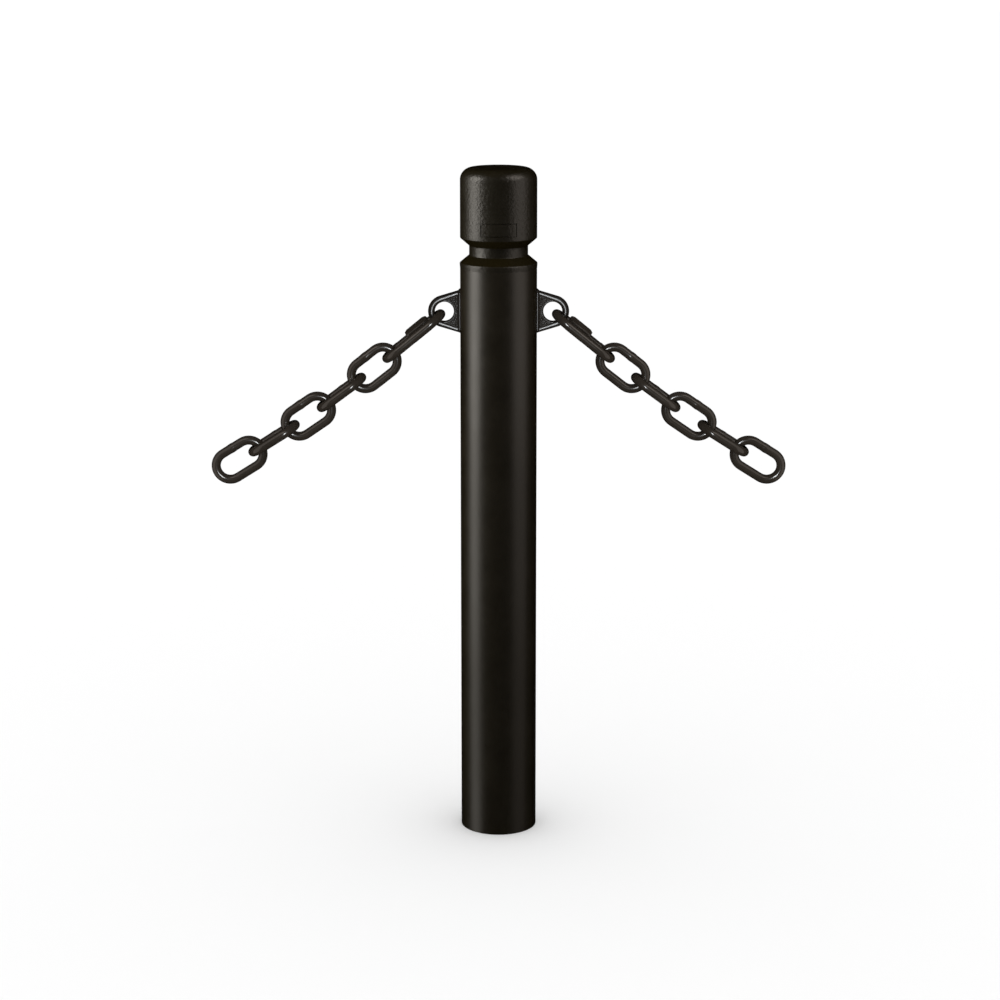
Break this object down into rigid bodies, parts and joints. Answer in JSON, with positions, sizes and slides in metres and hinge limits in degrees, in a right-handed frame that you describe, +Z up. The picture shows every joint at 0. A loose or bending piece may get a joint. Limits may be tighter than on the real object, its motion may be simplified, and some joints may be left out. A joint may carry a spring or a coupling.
{
  "type": "chain bollard",
  "caption": "Round steel tube post with a rounded cast head over a turned groove, and chains hung by quick links from a cast eye on each side.",
  "frame": {"origin": "middle of the tube's foot, on the ground", "axes": "+Z up along the tube, +X towards the right eye, +Y away from the viewer; the chains lie in the XZ plane"},
  "size_m": [0.7716, 0.103, 0.906],
  "materials": {
    "tube_paint": "satin black powder coat",
    "cast_paint": "black coat over a slightly rough casting",
    "chain_paint": "semi-gloss brownish black coat"
  },
  "bodies": {
    "post": {"post_tube": "tube_paint", "cap": "cast_paint", "left_eye": "cast_paint", "right_eye": "cast_paint"},
    "left_quick": {"left_quick_link": "chain_paint"},
    "left_quick_sleeve": {"left_sleeve": "chain_paint"},
    "left_chain_1": {"left_link_1": "chain_paint"},
    "left_chain_2": {"left_link_2": "chain_paint"},
    "left_chain_3": {"left_link_3": "chain_paint"},
    "left_chain_4": {"left_link_4": "chain_paint"},
    "left_chain_5": {"left_link_5": "chain_paint"},
    "right_quick": {"right_quick_link": "chain_paint"},
    "right_quick_sleeve": {"right_sleeve": "chain_paint"},
    "right_chain_1": {"right_link_1": "chain_paint"},
    "right_chain_2": {"right_link_2": "chain_paint"},
    "right_chain_3": {"right_link_3": "chain_paint"},
    "right_chain_4": {"right_link_4": "chain_paint"},
    "right_chain_5": {"right_link_5": "chain_paint"}
  },
  "joints": [
    {"name": "left_quick_swing", "type": "hinge", "parent": "post", "child": "left_quick", "pos_m": [-0.0721, 0, 0.7136], "axis": [0, -1, 0], "range_deg": [-120, 46]},
    {"name": "left_sleeve_travel", "type": "slide", "parent": "left_quick", "child": "left_quick_sleeve", "axis": [-0.7727, 0, -0.6347], "range_m": [0, 0.0175]},
    {"name": "left_link_1_swing", "type": "hinge", "parent": "left_quick", "child": "left_chain_1", "pos_m": [-0.14922, 0, 0.65025], "axis": [0, 1, 0], "range_deg": [-65, 90]},
    {"name": "left_link_2_swing", "type": "hinge", "parent": "left_chain_1", "child": "left_chain_2", "pos_m": [-0.18284, 0, 0.62386], "axis": [0, -1, 0], "range_deg": [-90, 80]},
    {"name": "left_link_3_swing", "type": "hinge", "parent": "left_chain_2", "child": "left_chain_3", "pos_m": [-0.23743, 0, 0.58347], "axis": [0, 1, 0], "range_deg": [-90, 90]},
    {"name": "left_link_4_swing", "type": "hinge", "parent": "left_chain_3", "child": "left_chain_4", "pos_m": [-0.27262, 0, 0.5593], "axis": [0, -1, 0], "range_deg": [-90, 90]},
    {"name": "left_link_5_swing", "type": "hinge", "parent": "left_chain_4", "child": "left_chain_5", "pos_m": [-0.32995, 0, 0.52292], "axis": [0, 1, 0], "range_deg": [-90, 90]},
    {"name": "right_quick_swing", "type": "hinge", "parent": "post", "child": "right_quick", "pos_m": [0.0721, 0, 0.7136], "axis": [0, 1, 0], "range_deg": [-120, 46]},
    {"name": "right_sleeve_travel", "type": "slide", "parent": "right_quick", "child": "right_quick_sleeve", "axis": [0.7727, 0, -0.6347], "range_m": [0, 0.0175]},
    {"name": "right_link_1_swing", "type": "hinge", "parent": "right_quick", "child": "right_chain_1", "pos_m": [0.14922, 0, 0.65025], "axis": [0, -1, 0], "range_deg": [-65, 90]},
    {"name": "right_link_2_swing", "type": "hinge", "parent": "right_chain_1", "child": "right_chain_2", "pos_m": [0.18284, 0, 0.62386], "axis": [0, 1, 0], "range_deg": [-90, 80]},
    {"name": "right_link_3_swing", "type": "hinge", "parent": "right_chain_2", "child": "right_chain_3", "pos_m": [0.23743, 0, 0.58347], "axis": [0, -1, 0], "range_deg": [-90, 90]},
    {"name": "right_link_4_swing", "type": "hinge", "parent": "right_chain_3", "child": "right_chain_4", "pos_m": [0.27262, 0, 0.5593], "axis": [0, 1, 0], "range_deg": [-90, 90]},
    {"name": "right_link_5_swing", "type": "hinge", "parent": "right_chain_4", "child": "right_chain_5", "pos_m": [0.32995, 0, 0.52292], "axis": [0, -1, 0], "range_deg": [-90, 90]}
  ]
}
